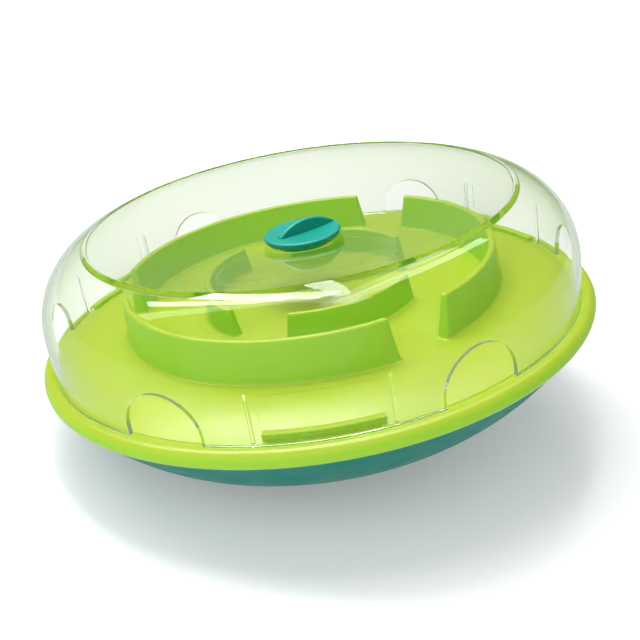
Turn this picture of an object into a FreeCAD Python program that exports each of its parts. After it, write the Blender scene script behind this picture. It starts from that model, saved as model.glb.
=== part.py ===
import FreeCAD, Part
import os
from math import asin, atan, cos, degrees, radians, sin, sqrt, tan

# Wobble treat bowl. Origin: centre of the small flat foot, +Z up, millimetres.
# A lime tray with a maze of walls closes a rounded teal base. A clear cover with
# six half-round doors snaps over the maze, and its top is a shallow funnel with a
# plug at the bottom for filling. Angles are in degrees about Z from +X.

# Widths that set each other: the cover's side, the tray's rim round it, the base's brim below
COVER_RADIUS = 134.0
RIM_LEDGE = 6.0
RIM_RADIUS = COVER_RADIUS + RIM_LEDGE
LIP_OVERHANG = 2.2
BRIM_RADIUS = RIM_RADIUS - LIP_OVERHANG

# Base, a rounded shell on a small flat foot
BASE_WALL = 2.6
FOOT_RADIUS = 24.0
ROCKER_RADIUS = 250.0
KNUCKLE_RADIUS = 105.0
FLARE_SLOPE = 47.5
FLARE_RUN = 11.7

# Tray, with heights measured from the widest circle of its rim
RIM_CREST = 4.3
LIP_DROP = 3.6
LIP_WALL = 2.8
TRAY_WALL = 2.6
FLOOR_RISE = 11.0
FALL_RUN = 33.1
SEAT_RISE = 3.9
SEAT_STEP = 0.3
SEAT_MARGIN = 0.6
SPIGOT_DEPTH = 4.0
SPIGOT_WALL = 1.8

# Maze: two broken rings of drafted walls, each (middle angle, half span at the top)
OUTER_RING_RADIUS = 92.0
OUTER_RING_HEIGHT = 20.5
OUTER_RING_WALLS = ((0.0, 50.5), (120.0, 50.5), (240.0, 50.5))
INNER_RING_RADIUS = 51.5
INNER_RING_HEIGHT = 14.5
INNER_RING_WALLS = ((60.0, 38.5), (177.0, 45.0), (296.0, 38.5))
WALL_TOP = 3.0
WALL_DRAFT = 5.5
WALL_END_DRAFT = 9.0
WALL_ROUND = 1.2

# Cover
COVER_WALL = 2.3
SHOULDER_RADIUS = 38.0
SHOULDER_START = 23.5
SHOULDER_RUN = 28.2
LAND_WIDTH = 2.2
FUNNEL_STEP = 2.6
FUNNEL_STEP_RUN = 1.4
FUNNEL_DEPTH = 17.6
HUB_MARGIN = 1.1
HOLE_RADIUS = 14.6
COLLAR_DEPTH = 4.1

# Doors, an arch on straight legs
DOOR_COUNT = 6
DOOR_HALF_WIDTH = 18.85
DOOR_HEIGHT = 22.6

# Snap stations, midway between doors
STATION_ANGLES = (30.0, 150.0, 270.0)
TAB_WALL = 3.5
TAB_RISE = 8.0
TAB_HALF_SPAN = 11.3
CATCH_DEPTH = 0.6
CATCH_HEIGHT = 0.8
LUG_DEPTH = 1.4
LUG_HALF_SPAN = 9.9
RIB_ANGLE = 12.7
RIB_WIDTH = 1.3
RIB_HEIGHT = 27.0
RIB_TAPER = 7.0
PANEL_DEPTH = 0.4
PANEL_HALF_SPAN = 10.8
PANEL_HEIGHT = 18.0

# Plug
PLUG_RADIUS = 19.4
PLUG_CAP_HEIGHT = 4.0
PLUG_EDGE_ROUND = 2.2
PLUG_NECK_DEPTH = 4.6
PLUG_NECK_WALL = 2.6
DISH_RIM = 1.2
DISH_DEPTH = 2.8
FIN_TURN = 32.0
FIN_WIDTH = 3.6
FIN_RISE = 2.2
FIN_ROUND = 1.2

# Screws that hold the tray down on the base
SCREW_COUNT = 6
SCREW_CIRCLE = 88.0
SCREW_RADIUS = 1.5
SCREW_HEAD_RADIUS = 3.4
SCREW_HEAD_HEIGHT = 2.2
SCREW_TIP = 2.0
SCREW_GRIP = 9.0
DRIVE_WIDTH = 1.0
DRIVE_DEPTH = 1.2
LEDGE_HEIGHT = 23.0
LEDGE_WALL = 3.0
COLUMN_WALL = 1.9
WELL_MARGIN = 0.9
POST_WALL = 2.7

# Clearances
COVER_GAP = 0.3
PLUG_GAP = 0.3
NECK_GAP = 0.4
SNAP_GAP = 0.3
SPIGOT_GAP = 0.3
SHANK_GAP = 0.3
THREAD_GAP = 0.1

# Depth by which a feature runs into the wall that carries it
BLEND = 1.0

ORIGIN = FreeCAD.Vector(0, 0, 0)
UP = FreeCAD.Vector(0, 0, 1)


def point(r, z):
    return FreeCAD.Vector(r, 0, z)


def middle_of_arc(centre, start, end):
    """Middle of the shorter arc about a centre, all given as (r, z)."""
    radius = sqrt((start[0] - centre[0]) ** 2 + (start[1] - centre[1]) ** 2)
    r = (start[0] + end[0]) / 2 - centre[0]
    z = (start[1] + end[1]) / 2 - centre[1]
    length = sqrt(r * r + z * z)
    return (centre[0] + r * radius / length, centre[1] + z * radius / length)


def outline(start, *steps):
    """Closed face in the XZ plane. A step is the next corner, or a pair:
    the corner at the far end of an arc and the arc's centre."""
    edges = []
    here = start
    for step in steps + (start,):
        if isinstance(step[0], tuple):
            end, centre = step
            mid = middle_of_arc(centre, here, end)
            edges.append(Part.Arc(point(*here), point(*mid), point(*end)).toShape())
        else:
            end = step
            edges.append(Part.makeLine(point(*here), point(*end)))
        here = end
    return Part.Face(Part.Wire(edges))


def turned(face, sweep=360.0):
    """A face of the XZ plane turned about Z, centred on +X when it is a part turn."""
    solid = face.revolve(ORIGIN, UP, sweep)
    if sweep < 360.0:
        solid.rotate(ORIGIN, UP, -sweep / 2)
    return solid


def at_angle(shape, angle):
    copy = shape.copy()
    copy.rotate(ORIGIN, UP, angle)
    return copy


def around(shape, count):
    return [at_angle(shape, i * 360.0 / count) for i in range(count)]


def peg(radius, low, high, r=0.0):
    """Upright cylinder on +X at distance r from the axis."""
    return Part.makeCylinder(radius, high - low, FreeCAD.Vector(r, 0, low))


def save(shape, node):
    shape.exportStep("parts/%s.step" % node)
    box = shape.optimalBoundingBox(False)
    print("%-14s solids %d  x %.1f  y %.1f  z %.1f to %.1f" % (
        node, len(shape.Solids), box.XLength, box.YLength, box.ZMin, box.ZMax))


# Slope at which the rocking curve gives way to the knuckle, so that the flare ends at the brim
KNUCKLE_SHIFT = BRIM_RADIUS - FLARE_RUN - KNUCKLE_RADIUS * sin(radians(FLARE_SLOPE)) - FOOT_RADIUS
ROCKER_SLOPE = degrees(asin(KNUCKLE_SHIFT / (ROCKER_RADIUS - KNUCKLE_RADIUS)))


class Rocker:
    """Side of the rounded base: foot, rocking curve, knuckle and straight flare,
    drawn an inset inside the outer face."""

    def __init__(self, inset):
        first = radians(ROCKER_SLOPE)
        last = radians(FLARE_SLOPE)
        reach = ROCKER_RADIUS - KNUCKLE_RADIUS
        rocker = ROCKER_RADIUS - inset
        knuckle = KNUCKLE_RADIUS - inset
        self.rocker_centre = (FOOT_RADIUS, ROCKER_RADIUS)
        self.rocker_end = (FOOT_RADIUS + rocker * sin(first), ROCKER_RADIUS - rocker * cos(first))
        self.knuckle_centre = (FOOT_RADIUS + reach * sin(first), ROCKER_RADIUS - reach * cos(first))
        self.knuckle_end = (self.knuckle_centre[0] + knuckle * sin(last),
                            self.knuckle_centre[1] - knuckle * cos(last))
        self.foot = (FOOT_RADIUS, inset)
        self.brim = BRIM_RADIUS - inset / sin(last)

    def height_at(self, r):
        """Height of the straight flare at radius r."""
        return self.knuckle_end[1] + (r - self.knuckle_end[0]) * tan(radians(FLARE_SLOPE))

    def radius_at(self, z):
        """Radius of the straight flare at height z."""
        return self.knuckle_end[0] + (z - self.knuckle_end[1]) / tan(radians(FLARE_SLOPE))

    def solid(self):
        top = self.height_at(self.brim)
        return turned(outline(
            (0, self.foot[1]), self.foot, (self.rocker_end, self.rocker_centre),
            (self.knuckle_end, self.knuckle_centre), (self.brim, top), (0, top)))


OUTSIDE = Rocker(0.0)
INSIDE = Rocker(BASE_WALL)
BRIM_HEIGHT = OUTSIDE.height_at(BRIM_RADIUS)
RIM_HEIGHT = BRIM_HEIGHT + LIP_DROP

# Heights above the ground that several pieces share
FLOOR = RIM_HEIGHT + FLOOR_RISE
SEAT = RIM_HEIGHT + SEAT_RISE
COVER_FOOT = SEAT + COVER_GAP
SHOULDER = RIM_HEIGHT + SHOULDER_START
COVER_TOP = SHOULDER + sqrt(SHOULDER_RADIUS ** 2 - (SHOULDER_RADIUS - SHOULDER_RUN) ** 2)
HUB = COVER_TOP - FUNNEL_DEPTH
POST_FOOT = LEDGE_HEIGHT + LEDGE_WALL
SCREW_END = POST_FOOT + SCREW_GRIP

# Radii that several pieces share
COVER_BORE = COVER_RADIUS - COVER_WALL
LUG_RADIUS = COVER_BORE - LUG_DEPTH
CATCH_RADIUS = LUG_RADIUS - SNAP_GAP
TAB_INNER_RADIUS = CATCH_RADIUS - TAB_WALL
SEAT_INNER = COVER_BORE - SEAT_MARGIN
SEAT_OUTER = COVER_RADIUS + SEAT_MARGIN
LAND_RADIUS = COVER_RADIUS - SHOULDER_RUN
HUB_RADIUS = PLUG_RADIUS + HUB_MARGIN
DISH_RADIUS = PLUG_RADIUS - PLUG_EDGE_ROUND - DISH_RIM

# The floor is flat in the middle and falls along an arc to the cover's seat
FALL_DROP = FLOOR_RISE - SEAT_RISE - SEAT_STEP
FLOOR_FLAT_RADIUS = SEAT_INNER - FALL_RUN
FALL_RADIUS = (FALL_RUN ** 2 + FALL_DROP ** 2) / (2 * FALL_DROP)
FALL_CENTRE = (FLOOR_FLAT_RADIUS, FLOOR - FALL_RADIUS)


def base_shell():
    column = SCREW_HEAD_RADIUS + WELL_MARGIN + COLUMN_WALL
    columns = around(peg(column, 0, POST_FOOT, SCREW_CIRCLE), SCREW_COUNT)
    wells = around(peg(SCREW_HEAD_RADIUS + WELL_MARGIN, -BLEND, LEDGE_HEIGHT, SCREW_CIRCLE), SCREW_COUNT)
    holes = around(peg(SCREW_RADIUS + SHANK_GAP, 0, POST_FOOT + BLEND, SCREW_CIRCLE), SCREW_COUNT)
    outside = OUTSIDE.solid()
    shell = outside.cut(INSIDE.solid())
    shell = shell.fuse([c.common(outside) for c in columns])
    return shell.cut(wells + holes)


def fall_height(r, depth=0.0):
    """Height of the falling part of the floor at radius r, or of what lies a depth below."""
    return FALL_CENTRE[1] + sqrt((FALL_RADIUS - depth) ** 2 - (r - FLOOR_FLAT_RADIUS) ** 2)


def tray_plate():
    """Floor, seat for the cover, rounded rim with its lip, and the spigot below."""

    def underside(r):
        return (r, fall_height(r, TRAY_WALL))

    spigot_foot = BRIM_HEIGHT - SPIGOT_DEPTH
    spigot = INSIDE.radius_at(spigot_foot) - SPIGOT_GAP
    lip_inner = BRIM_RADIUS - LIP_WALL
    crest = (SEAT_OUTER + SEAT_STEP, RIM_HEIGHT + RIM_CREST)
    crest_run = RIM_RADIUS - crest[0]
    crest_arc = (crest_run ** 2 + RIM_CREST ** 2) / (2 * crest_run)
    lip_run = RIM_RADIUS - BRIM_RADIUS
    lip_arc = (lip_run ** 2 + LIP_DROP ** 2) / (2 * lip_run)
    widest = (RIM_RADIUS, RIM_HEIGHT)
    return turned(outline(
        (0, FLOOR - TRAY_WALL), (FLOOR_FLAT_RADIUS, FLOOR - TRAY_WALL),
        (underside(spigot - SPIGOT_WALL), FALL_CENTRE),
        (spigot - SPIGOT_WALL, spigot_foot), (spigot, spigot_foot), underside(spigot),
        (underside(SEAT_INNER), FALL_CENTRE), (lip_inner, SEAT - TRAY_WALL),
        (lip_inner, BRIM_HEIGHT), (BRIM_RADIUS, BRIM_HEIGHT),
        (widest, (RIM_RADIUS - lip_arc, RIM_HEIGHT)),
        (crest, (RIM_RADIUS - crest_arc, RIM_HEIGHT)),
        (SEAT_OUTER, SEAT), (SEAT_INNER, SEAT), (SEAT_INNER, SEAT + SEAT_STEP),
        ((FLOOR_FLAT_RADIUS, FLOOR), FALL_CENTRE), (0, FLOOR)))


def end_block(radius, height, half_span):
    """What lies beyond the leaning end of a wall centred on +X."""
    block = Part.makeBox(2 * radius, radius, 3 * height, FreeCAD.Vector(0, 0, -2 * height))
    block.rotate(ORIGIN, FreeCAD.Vector(1, 0, 0), WALL_END_DRAFT)
    block.translate(FreeCAD.Vector(0, 0, FLOOR + height))
    return at_angle(block, half_span)


def maze_wall(radius, height, angle, half_span):
    """Curved wall that thickens towards its foot, with leaning ends and rounded edges."""
    low = FLOOR - TRAY_WALL / 2
    top = FLOOR + height
    spread = WALL_TOP / 2 + (top - low) * tan(radians(WALL_DRAFT))
    lean = degrees(atan((top - low) * tan(radians(WALL_END_DRAFT)) / (radius - spread)))
    ring = turned(outline((radius - spread, low), (radius + spread, low), (radius + WALL_TOP / 2, top),
                          (radius - WALL_TOP / 2, top)), 2 * (half_span + 2 * lean))
    block = end_block(radius, height, half_span)
    wall = ring.cut([block, block.mirror(ORIGIN, FreeCAD.Vector(0, 1, 0))])
    edges = [e for e in wall.Edges if e.BoundBox.ZMax > top - BLEND]
    return at_angle(wall.makeFillet(WALL_ROUND, edges), angle)


def snap_tab():
    """Low curved tab just inside the cover, with a catch along its outer edge."""
    top = RIM_HEIGHT + TAB_RISE
    face = CATCH_RADIUS - CATCH_DEPTH
    return turned(outline(
        (TAB_INNER_RADIUS, SEAT), (face, SEAT), (face, top - CATCH_HEIGHT - CATCH_DEPTH),
        (CATCH_RADIUS, top - CATCH_HEIGHT), (CATCH_RADIUS, top), (TAB_INNER_RADIUS, top)),
        2 * TAB_HALF_SPAN)


def treat_tray():
    post_radius = SCREW_RADIUS + POST_WALL
    posts = around(peg(post_radius, POST_FOOT, FLOOR - BLEND, SCREW_CIRCLE), SCREW_COUNT)
    pilots = around(peg(SCREW_RADIUS + THREAD_GAP, POST_FOOT - BLEND, SCREW_END + BLEND, SCREW_CIRCLE),
                    SCREW_COUNT)
    walls = [maze_wall(OUTER_RING_RADIUS, OUTER_RING_HEIGHT, a, s) for a, s in OUTER_RING_WALLS]
    walls += [maze_wall(INNER_RING_RADIUS, INNER_RING_HEIGHT, a, s) for a, s in INNER_RING_WALLS]
    tabs = [at_angle(snap_tab(), a) for a in STATION_ANGLES]
    return tray_plate().fuse(walls + tabs + posts).cut(pilots)


def cover_shell():
    """Wall and rounded shoulder outside, shallow funnel inside a flat land on top."""

    def dome(inset):
        arc = SHOULDER_RADIUS - inset
        side = COVER_RADIUS - inset
        top = COVER_TOP - inset
        centre = (COVER_RADIUS - SHOULDER_RADIUS, SHOULDER)
        edge = centre[0] + sqrt(arc ** 2 - (top - SHOULDER) ** 2)
        return turned(outline((0, COVER_FOOT), (side, COVER_FOOT), (side, SHOULDER),
                              ((edge, top), centre), (0, top)))

    def funnel(wall):
        land = LAND_RADIUS - LAND_WIDTH + wall
        step = land - FUNNEL_STEP_RUN
        return turned(outline((0, HUB - wall), (HUB_RADIUS, HUB - wall),
                              (step, COVER_TOP - FUNNEL_STEP - wall), (land, COVER_TOP), (0, COVER_TOP)))

    collar = peg(HOLE_RADIUS + COVER_WALL, HUB - COLLAR_DEPTH, HUB)
    room = dome(COVER_WALL).cut(funnel(COVER_WALL))
    shell = dome(0.0).cut([room, funnel(0.0)]).fuse(collar)
    return shell.cut(peg(HOLE_RADIUS, HUB - COLLAR_DEPTH - BLEND, HUB + BLEND))


def door():
    """Arch on straight legs, as a block that runs out through the wall."""
    low = COVER_FOOT - BLEND
    spring = COVER_FOOT + DOOR_HEIGHT - DOOR_HALF_WIDTH
    start = sqrt(COVER_BORE ** 2 - DOOR_HALF_WIDTH ** 2) - BLEND
    legs = [FreeCAD.Vector(start, side * DOOR_HALF_WIDTH, z) for side, z in
            ((-1, spring), (-1, low), (1, low), (1, spring))]
    crown = FreeCAD.Vector(start, 0, COVER_FOOT + DOOR_HEIGHT)
    edges = [Part.makeLine(legs[i], legs[i + 1]) for i in range(3)]
    edges.append(Part.Arc(legs[3], crown, legs[0]).toShape())
    return Part.Face(Part.Wire(edges)).extrude(FreeCAD.Vector(COVER_RADIUS + BLEND - start, 0, 0))


def station():
    """Lug and the two thin ribs that stand on the inside of the wall."""
    root = COVER_BORE + COVER_WALL / 3
    low = fall_height(LUG_RADIUS) + SNAP_GAP
    top = RIM_HEIGHT + TAB_RISE - CATCH_HEIGHT - CATCH_DEPTH - SNAP_GAP
    lug = turned(outline((LUG_RADIUS, low), (root, low), (root, top), (LUG_RADIUS, top)),
                 2 * LUG_HALF_SPAN)
    plate = outline((LUG_RADIUS, low), (root, low), (root, COVER_FOOT + RIB_HEIGHT),
                    (LUG_RADIUS, COVER_FOOT + RIB_HEIGHT - RIB_TAPER))
    rib = plate.extrude(FreeCAD.Vector(0, RIB_WIDTH, 0))
    rib.translate(FreeCAD.Vector(0, -RIB_WIDTH / 2, 0))
    return [lug, at_angle(rib, -RIB_ANGLE), at_angle(rib, RIB_ANGLE)]


def panel():
    """Thinned panel of the wall between the ribs, over the lug."""
    low = RIM_HEIGHT + TAB_RISE + CATCH_HEIGHT
    return turned(outline((LUG_RADIUS, low), (COVER_BORE + PANEL_DEPTH, low),
                          (COVER_BORE + PANEL_DEPTH, low + PANEL_HEIGHT), (LUG_RADIUS, low + PANEL_HEIGHT)),
                  2 * PANEL_HALF_SPAN)


def clear_cover():
    shell = cover_shell()
    shell = shell.cut([at_angle(panel(), a) for a in STATION_ANGLES])
    for angle in STATION_ANGLES:
        shell = shell.fuse([at_angle(piece, angle) for piece in station()])
    return shell.cut(around(door(), DOOR_COUNT))


def filler_plug():
    """Cap with a dished top and a finger fin across it, on a short hollow neck."""
    low = HUB + PLUG_GAP
    top = low + PLUG_CAP_HEIGHT
    neck = HOLE_RADIUS - NECK_GAP
    bore = neck - PLUG_NECK_WALL
    neck_foot = HUB - PLUG_NECK_DEPTH
    dish = (DISH_RADIUS ** 2 + DISH_DEPTH ** 2) / (2 * DISH_DEPTH)
    dish_centre = (0, top - DISH_DEPTH + dish)
    belly = low + PLUG_CAP_HEIGHT - PLUG_EDGE_ROUND
    cap = turned(outline(
        (0, low), (bore, low), (bore, neck_foot), (neck, neck_foot), (neck, low),
        (PLUG_RADIUS - PLUG_EDGE_ROUND, low), (PLUG_RADIUS, belly),
        ((PLUG_RADIUS - PLUG_EDGE_ROUND, top), (PLUG_RADIUS - PLUG_EDGE_ROUND, belly)),
        (DISH_RADIUS, top), ((0, top - DISH_DEPTH), dish_centre)))
    side = sqrt(DISH_RADIUS ** 2 - (FIN_WIDTH / 2) ** 2) + FIN_ROUND
    floor = low + (PLUG_CAP_HEIGHT - DISH_DEPTH) / 2
    ends = [FreeCAD.Vector(x, -FIN_WIDTH / 2, z) for x, z in
            ((-side, top), (-side, floor), (side, floor), (side, top))]
    crest = FreeCAD.Vector(0, -FIN_WIDTH / 2, top + FIN_RISE)
    edges = [Part.makeLine(ends[i], ends[i + 1]) for i in range(3)]
    edges.append(Part.Arc(ends[3], crest, ends[0]).toShape())
    fin = Part.Face(Part.Wire(edges)).extrude(FreeCAD.Vector(0, FIN_WIDTH, 0))
    ridge = [e for e in fin.Edges
             if e.BoundBox.ZMax > top + FIN_RISE / 2 and e.BoundBox.YLength < FIN_WIDTH / 2]
    fin = fin.makeFillet(FIN_ROUND, ridge)
    return at_angle(cap.fuse(fin), FIN_TURN)


def screw():
    """Pan head with a cross recess, straight shank and a short point."""
    head_foot = LEDGE_HEIGHT - SCREW_HEAD_HEIGHT
    body = turned(outline(
        (0, head_foot), (SCREW_HEAD_RADIUS - SCREW_HEAD_HEIGHT / 2, head_foot),
        (SCREW_HEAD_RADIUS, head_foot + SCREW_HEAD_HEIGHT / 2), (SCREW_HEAD_RADIUS, LEDGE_HEIGHT),
        (SCREW_RADIUS, LEDGE_HEIGHT), (SCREW_RADIUS, SCREW_END - SCREW_TIP), (0, SCREW_END)))
    arm = SCREW_HEAD_RADIUS - SCREW_HEAD_HEIGHT / 2
    corner = FreeCAD.Vector(-arm, -DRIVE_WIDTH / 2, head_foot - BLEND)
    slot = Part.makeBox(2 * arm, DRIVE_WIDTH, DRIVE_DEPTH + BLEND, corner)
    body = body.cut([slot, at_angle(slot, 90)])
    body.translate(FreeCAD.Vector(SCREW_CIRCLE, 0, 0))
    return body


def main():
    os.makedirs("parts", exist_ok=True)
    save(base_shell(), "base_shell")
    save(treat_tray(), "treat_tray")
    save(clear_cover(), "clear_cover")
    save(filler_plug(), "filler_plug")
    save(Part.makeCompound(around(screw(), SCREW_COUNT)), "base_screws")


main()
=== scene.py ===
from math import acos, atan2, ceil, cos, hypot, pi, radians, sin, sqrt, tan

import bmesh
import bpy
from mathutils import Matrix, Vector


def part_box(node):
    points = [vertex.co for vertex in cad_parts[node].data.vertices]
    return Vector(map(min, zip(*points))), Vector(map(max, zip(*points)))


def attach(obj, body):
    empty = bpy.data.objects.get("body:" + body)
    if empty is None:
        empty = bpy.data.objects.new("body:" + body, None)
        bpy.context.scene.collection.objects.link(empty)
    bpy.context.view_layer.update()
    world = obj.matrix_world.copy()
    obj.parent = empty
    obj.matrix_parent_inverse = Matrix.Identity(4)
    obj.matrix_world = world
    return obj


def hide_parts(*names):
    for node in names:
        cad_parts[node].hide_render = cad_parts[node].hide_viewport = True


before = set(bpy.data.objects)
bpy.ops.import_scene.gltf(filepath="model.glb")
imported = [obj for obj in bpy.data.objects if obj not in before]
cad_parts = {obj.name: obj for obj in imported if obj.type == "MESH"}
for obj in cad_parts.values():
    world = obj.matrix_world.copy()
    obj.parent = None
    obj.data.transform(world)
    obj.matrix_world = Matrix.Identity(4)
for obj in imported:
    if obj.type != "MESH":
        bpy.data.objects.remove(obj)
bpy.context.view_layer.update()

bl_info = {
    "name": "Wobble Treat Bowl",
    "version": (1, 0, 0),
    "blender": (4, 5, 0),
    "location": "3D View > Sidebar > Treat Bowl",
    "description": "Moulded plastic treat bowl with a maze tray, a clear cover and a filler plug",
    "category": "Object",
}

# Heights that the pieces share, from the frame's solids
BRIM_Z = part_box("base_shell")[1].z
COVER_FOOT_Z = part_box("clear_cover")[0].z
COVER_TOP_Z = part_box("clear_cover")[1].z
PLUG_FOOT_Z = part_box("filler_plug")[0].z

# Steps in a small round, a full turn, a maze wall, a tab, a rod, a bevel and the fin's crest
ROUND_STEPS = 8
TURN_STEPS = 240
WALL_STEPS = 40
TAB_STEPS = 16
ROD_STEPS = 48
BEVEL_STEPS = 2
CREST_STEPS = 5
# The most that an arc turns in one step
ARC_STEP = radians(2.5)

# Angles in degrees past which a corner is rounded, an edge is a tab's end, and an edge stays a crease
CORNER_ANGLE = 40
TAB_END_ANGLE = 80
CREASE_ANGLE = 35
COVER_CREASE_ANGLE = 14

# The largest radius of a corner's round, as a share of the shorter stretch beside it
ROUND_SHARE = 0.4
# Points closer than this are one, and a cutting tool reaches this far past what it cuts, in metres
WELD = 1e-6
PAST = 0.01

# Indices of refraction. The cover's is lower than that of real plastic, for its thin and pale look
PLASTIC_IOR = 1.49
COVER_IOR = 1.25
# How fast the cover's plastic colours with depth, and the bounce past which rays go straight through it
CLEAR_DENSITY = 70.0
CLEAR_BOUNCES = 4

# Scale per metre and detail of each texture
FLOW_CLOUDS = (22.0, 3.0)
UNEVEN_GLOSS = (70.0, 4.0)
TOOL_TEXTURE = (1600.0, 2.0)
WAVES = (45.0, 1.0)
PLATING = (900.0, 3.0)
TURNING_MARKS = (1500.0, 2.0)
# Values between which most of a noise texture lies
NOISE_LOW, NOISE_HIGH = 0.3, 0.7
# Upward part of a face's direction at which plastic shows the painted shade of steep faces and the
# painted light of level faces
PAINTED_SHADE_AT, PAINTED_LIGHT_AT = 0.25, 0.95
# How much of a deeper shade the flow clouds and the plating bring, and how deep it is
FLOW_SHARE, FLOW_SHADE = 0.10, 0.8
PLATE_SHARE, PLATE_SHADE = 0.35, 0.7
# How far the gloss of moulded plastic varies
GLOSS_SPREAD = 0.05

# Own light of the floor near the bowl and far off, the distances in metres from which and up to which
# it rises, and the share of it that shows through the cover
FLOOR_LIFT, FAR_LIFT = 0.22, 0.9
LIFT_FROM, LIFT_TO = 0.28, 0.7
THROUGH_LIFT = 0.27
# Level of the even light from all sides, and half the width of the floor in metres
FILL_LIGHT = 0.43
FLOOR_HALF = 3.0
WHITE = (1.0, 1.0, 1.0)

# Sockets of a colour mix: its share, its two colours and its result
MIX_SHARE, MIX_FIRST, MIX_SECOND, MIX_RESULT = 0, 6, 7, 2


def size(default, name, description):
    """A length that a user may change."""
    return bpy.props.FloatProperty(name=name, description=description, default=default,
                                   min=0.0, unit="LENGTH", precision=5)


def slope(default, name, description):
    """An angle that a user may change, given in degrees."""
    return bpy.props.FloatProperty(name=name, description=description, default=radians(default),
                                   subtype="ANGLE")


def colour(default, name, description):
    """A linear colour that a user may change."""
    return bpy.props.FloatVectorProperty(name=name, description=description, default=default,
                                         size=3, min=0.0, max=1.0, subtype="COLOR")


class BowlBaseSizes(bpy.types.PropertyGroup):
    """Sizes of the teal base"""

    foot_radius: size(0.024, "Foot Radius", "Radius of the flat foot")
    rocker_radius: size(0.250, "Rocker Radius", "Radius of the curve that the bowl rocks on")
    rocker_slope: slope(9.8, "Rocker Slope", "Slope at which the rocking curve ends")
    knuckle_radius: size(0.105, "Knuckle Radius", "Radius of the tighter curve above the rocker")
    flare_slope: slope(47.5, "Flare Slope", "Slope of the straight side under the rim")
    brim_radius: size(0.1378, "Brim Radius", "Outer radius of the base's top edge")
    wall: size(0.0026, "Wall", "Wall thickness of the base")
    well_circle: size(0.088, "Well Circle", "Distance of the screw wells from the middle")
    well_radius: size(0.0043, "Well Radius", "Radius of the screw wells")
    well_top: size(0.023, "Well Top", "Height of the ledge that a screw head sits on")
    column_radius: size(0.0062, "Column Radius", "Outer radius of the columns around the wells")
    column_top: size(0.026, "Column Top", "Height of the columns, where the tray's posts stand")
    hole_radius: size(0.0018, "Hole Radius", "Radius of the hole for a screw's shank")


class BowlTraySizes(bpy.types.PropertyGroup):
    """Sizes of the lime tray"""

    rim_radius: size(0.140, "Rim Radius", "Widest radius of the rim")
    rim_rise: size(0.0036, "Rim Rise", "Height of the widest circle above the base's top edge")
    rim_crest: size(0.0043, "Rim Crest", "Height of the rim's top above its widest circle")
    floor_rise: size(0.011, "Floor Rise", "Height of the floor above the widest circle")
    floor_flat: size(0.098, "Flat Radius", "Radius of the floor's flat middle")
    wall: size(0.0026, "Wall", "Wall thickness of the tray")
    seat_inner: size(0.1311, "Seat Inner", "Inner radius of the groove that the cover stands in")
    seat_outer: size(0.1346, "Seat Outer", "Outer radius of that groove")
    seat_rise: size(0.0039, "Seat Rise", "Height of the groove above the widest circle")
    seat_step: size(0.0003, "Seat Step", "Depth of the groove")
    lip_inner: size(0.1350, "Lip Inner", "Inner radius of the lip on the base's top edge")
    spigot_outer: size(0.1303, "Spigot Outer", "Outer radius of the ring that centres the tray")
    spigot_wall: size(0.0018, "Spigot Wall", "Wall of that ring")
    spigot_depth: size(0.004, "Spigot Depth", "How far that ring reaches into the base")
    edge_round: size(0.0004, "Edge Round", "Rounding of the small edges")
    ring_top: size(0.003, "Wall Top", "Width of a maze wall along its top")
    ring_draft: slope(5.5, "Wall Draft", "Lean of the maze walls' sides")
    ring_end_draft: slope(9.0, "End Draft", "Lean of the maze walls' ends")
    ring_corner: size(0.0016, "Wall Corner", "Rounding of the maze walls' upright corners")
    ring_round: size(0.0012, "Wall Round", "Rounding along the top of the maze walls")
    ring_fillet: size(0.0014, "Wall Fillet", "Fillet where the maze walls meet the floor")
    outer_radius: size(0.092, "Outer Ring", "Radius of the outer ring of maze walls")
    outer_height: size(0.0205, "Outer Height", "Height of the outer ring")
    inner_radius: size(0.0515, "Inner Ring", "Radius of the inner ring of maze walls")
    inner_height: size(0.0145, "Inner Height", "Height of the inner ring")
    tab_inner: size(0.1265, "Tab Inner", "Inner radius of the snap tabs")
    tab_face: size(0.1294, "Tab Face", "Outer radius of the snap tabs under their catch")
    tab_catch: size(0.0006, "Catch Depth", "How far the catch stands out of a snap tab")
    tab_rise: size(0.008, "Tab Rise", "Height of the snap tabs above the widest circle")
    tab_lip: size(0.0008, "Catch Lip", "Height of the catch's upright face")
    tab_span: slope(11.3, "Tab Span", "Half the angle that a snap tab spans")
    pilot_depth: size(0.010, "Pilot Depth", "Depth of the screw holes in the posts")
    post_radius: size(0.0042, "Post Radius", "Radius of the screw posts under the tray")
    pilot_radius: size(0.0016, "Pilot Radius", "Radius of the screw holes in the posts")


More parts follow.
